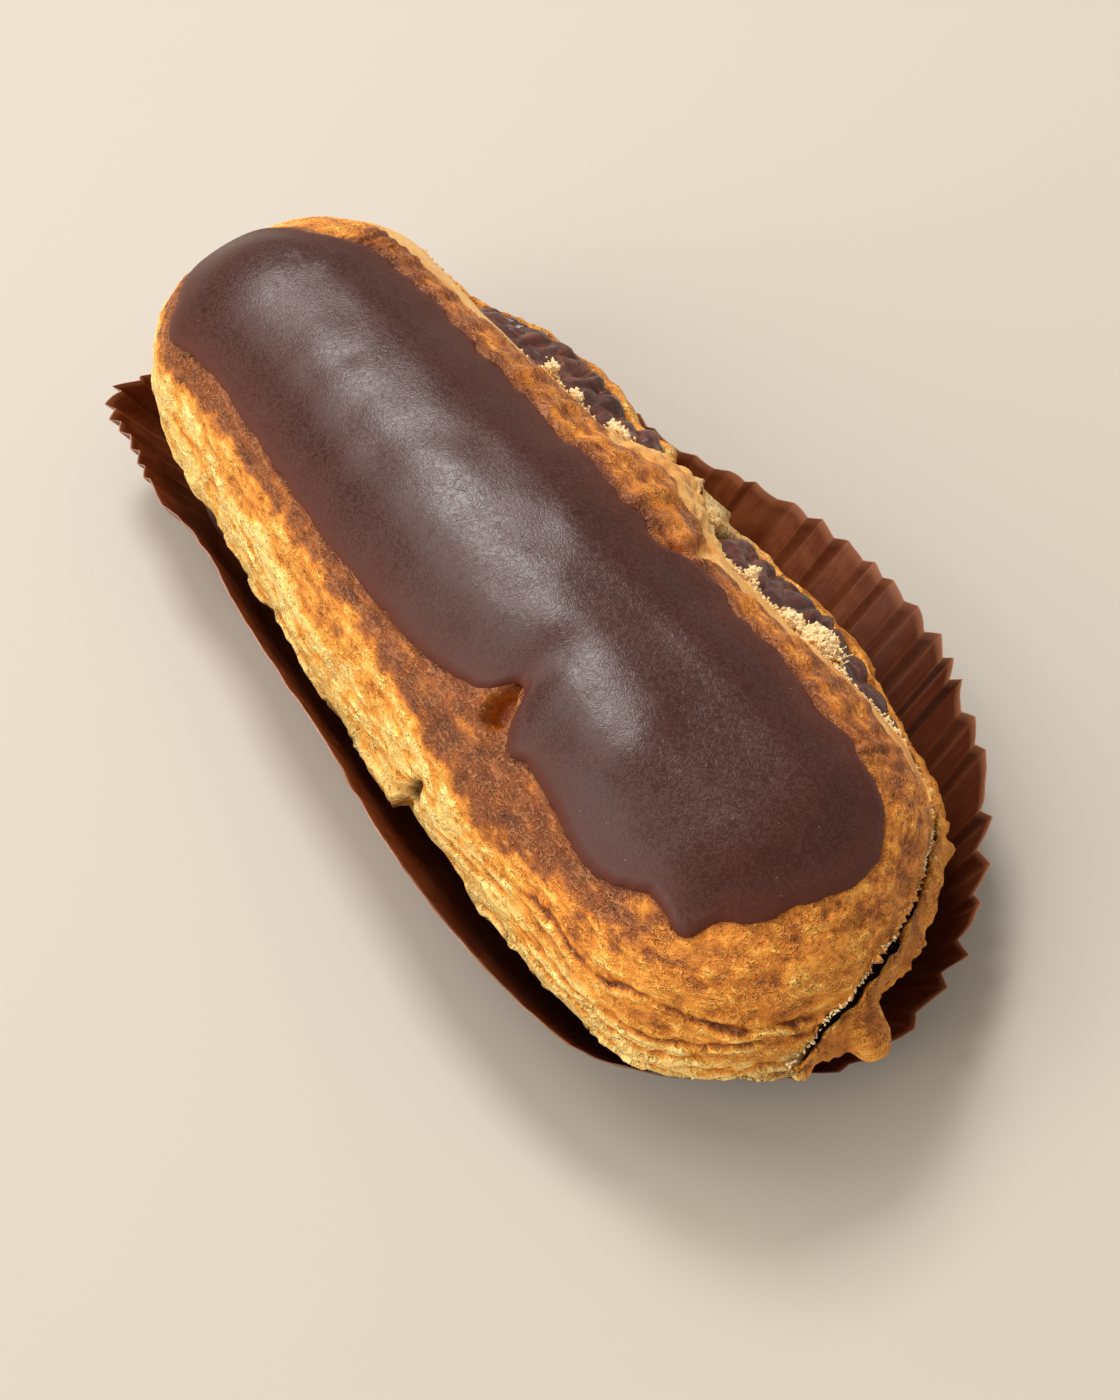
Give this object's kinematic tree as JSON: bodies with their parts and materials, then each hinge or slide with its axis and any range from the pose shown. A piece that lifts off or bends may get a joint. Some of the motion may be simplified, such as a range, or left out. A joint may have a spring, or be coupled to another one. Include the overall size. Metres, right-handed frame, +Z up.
{
  "type": "chocolate eclair",
  "caption": "Long choux pastry with a chocolate glaze, sliced open along one side over chocolate cream, in a pleated brown paper case.",
  "frame": {"origin": "the middle of the whole part's footprint, on the surface that the case stands on", "axes": "+X along the eclair towards its rounder, browner end; +Y to the side that is sliced open; +Z up"},
  "size_m": [0.1402, 0.076, 0.0402],
  "materials": {
    "baked_choux": "dry baked crust, golden on the flanks and browner round the glaze",
    "chocolate_cream": "moist piped cream",
    "chocolate_glaze": "satin chocolate glaze",
    "brown_paper": "thin glassine paper with a slight sheen"
  },
  "bodies": {
    "root": {"choux_shell": "baked_choux", "chocolate_filling": "chocolate_cream", "chocolate_glaze": "chocolate_glaze", "paper_case": "brown_paper"}
  },
  "joints": []
}
